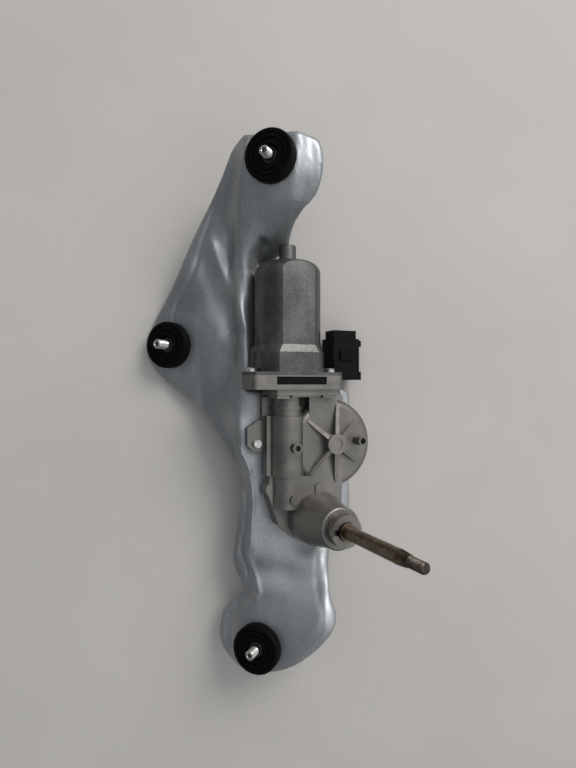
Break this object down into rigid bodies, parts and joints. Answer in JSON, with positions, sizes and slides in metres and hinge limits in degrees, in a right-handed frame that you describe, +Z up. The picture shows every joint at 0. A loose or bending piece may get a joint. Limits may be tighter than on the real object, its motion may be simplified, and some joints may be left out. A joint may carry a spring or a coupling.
{
  "type": "wiper motor",
  "caption": "Rear wiper motor: geared can motor on a pressed three-point bracket with rubber mounts, tall threaded output shaft and side connector.",
  "frame": {"origin": "middle of the part's outline on the bench plane it rests on", "axes": "+Z up from the bench, +Y from the gearbox towards the motor can along the motor shaft, +X to the side the output shaft leans to"},
  "size_m": [0.162, 0.3328, 0.1394],
  "materials": {
    "galvanised_sheet": "satin blue-grey zinc coating",
    "black_rubber": "matte",
    "bright_zinc_steel": "bright plated",
    "cast_aluminium": "fine-grained as cast",
    "zinc_plated_can": "bright speckled zinc",
    "ferrite": "matte sintered",
    "black_plastic": "matte",
    "carbon": "matte",
    "spring_steel": "ground",
    "sintered_bronze": "matte oiled",
    "white_nylon": "matte",
    "copper": "satin",
    "tinned_brass": "satin",
    "electrical_steel": "matte",
    "phosphated_steel": "dark brown phosphate, satin"
  },
  "bodies": {
    "frame": {"bracket": "galvanised_sheet", "grommet_upper": "black_rubber", "grommet_left": "black_rubber", "grommet_lower": "black_rubber", "grommet_sleeves": "bright_zinc_steel", "mounting_studs": "bright_zinc_steel", "gear_housing": "cast_aluminium", "gearbox_cover": "galvanised_sheet", "gearbox_gasket": "black_rubber", "housing_bolts": "bright_zinc_steel", "motor_can": "zinc_plated_can", "can_screws": "bright_zinc_steel", "magnet_left": "ferrite", "magnet_right": "ferrite", "brush_holder": "black_plastic", "brushes": "carbon", "brush_springs": "spring_steel", "worm_bearing": "spring_steel", "worm_end_bush": "sintered_bronze", "thrust_pad": "white_nylon", "can_bearing": "sintered_bronze", "nose_bush_lower": "sintered_bronze", "nose_bush_upper": "sintered_bronze", "shaft_seal": "black_rubber", "wheel_axle": "spring_steel", "park_contacts": "copper", "connector_housing": "black_plastic", "connector_terminals": "tinned_brass"},
    "armature": {"lamination_stack": "electrical_steel", "armature_shaft": "spring_steel", "armature_windings": "copper", "commutator": "copper"},
    "wheel": {"worm_wheel": "white_nylon", "park_disc": "tinned_brass"},
    "link": {"link_plate": "spring_steel", "pivot_rivet": "spring_steel"},
    "rod": {"sector_rod": "spring_steel", "crank_pin": "spring_steel"},
    "output": {"output_shaft": "phosphated_steel", "output_pinion": "spring_steel", "thrust_washer": "spring_steel", "shaft_clip": "phosphated_steel"}
  },
  "joints": [
    {"name": "armature_spin", "type": "hinge", "parent": "frame", "child": "armature", "pos_m": [0.01573, 0.03395, 0.03702], "axis": [0, 1, 0], "continuous": true},
    {"name": "wheel_spin", "type": "hinge", "parent": "frame", "child": "wheel", "pos_m": [0.04051, -0.01955, 0.02629], "axis": [0.3971, 0, 0.9178], "continuous": true},
    {"name": "output_sweep", "type": "hinge", "parent": "frame", "child": "output", "pos_m": [0.04035, -0.06605, 0.05034], "axis": [0.3971, 0, 0.9178], "range_deg": [-66, 66]},
    {"name": "link_swing", "type": "hinge", "parent": "frame", "child": "link", "pos_m": [0.02883, -0.06605, 0.02372], "axis": [0.3971, 0, 0.9178], "range_deg": [-29.5, 29.5]},
    {"name": "sector_turn", "type": "hinge", "parent": "link", "child": "rod", "pos_m": [0.02024, -0.04989, 0.02853], "axis": [0.3971, 0, 0.9178], "range_deg": [-36.8, 36.8]}
  ],
  "couplings": [
    {"joint": "wheel_spin", "follows": "armature_spin", "ratio": 0.018182},
    {"joint": "link_swing", "follows": "output_sweep", "ratio": 0.44444},
    {"joint": "sector_turn", "follows": "output_sweep", "ratio": -0.55556}
  ]
}
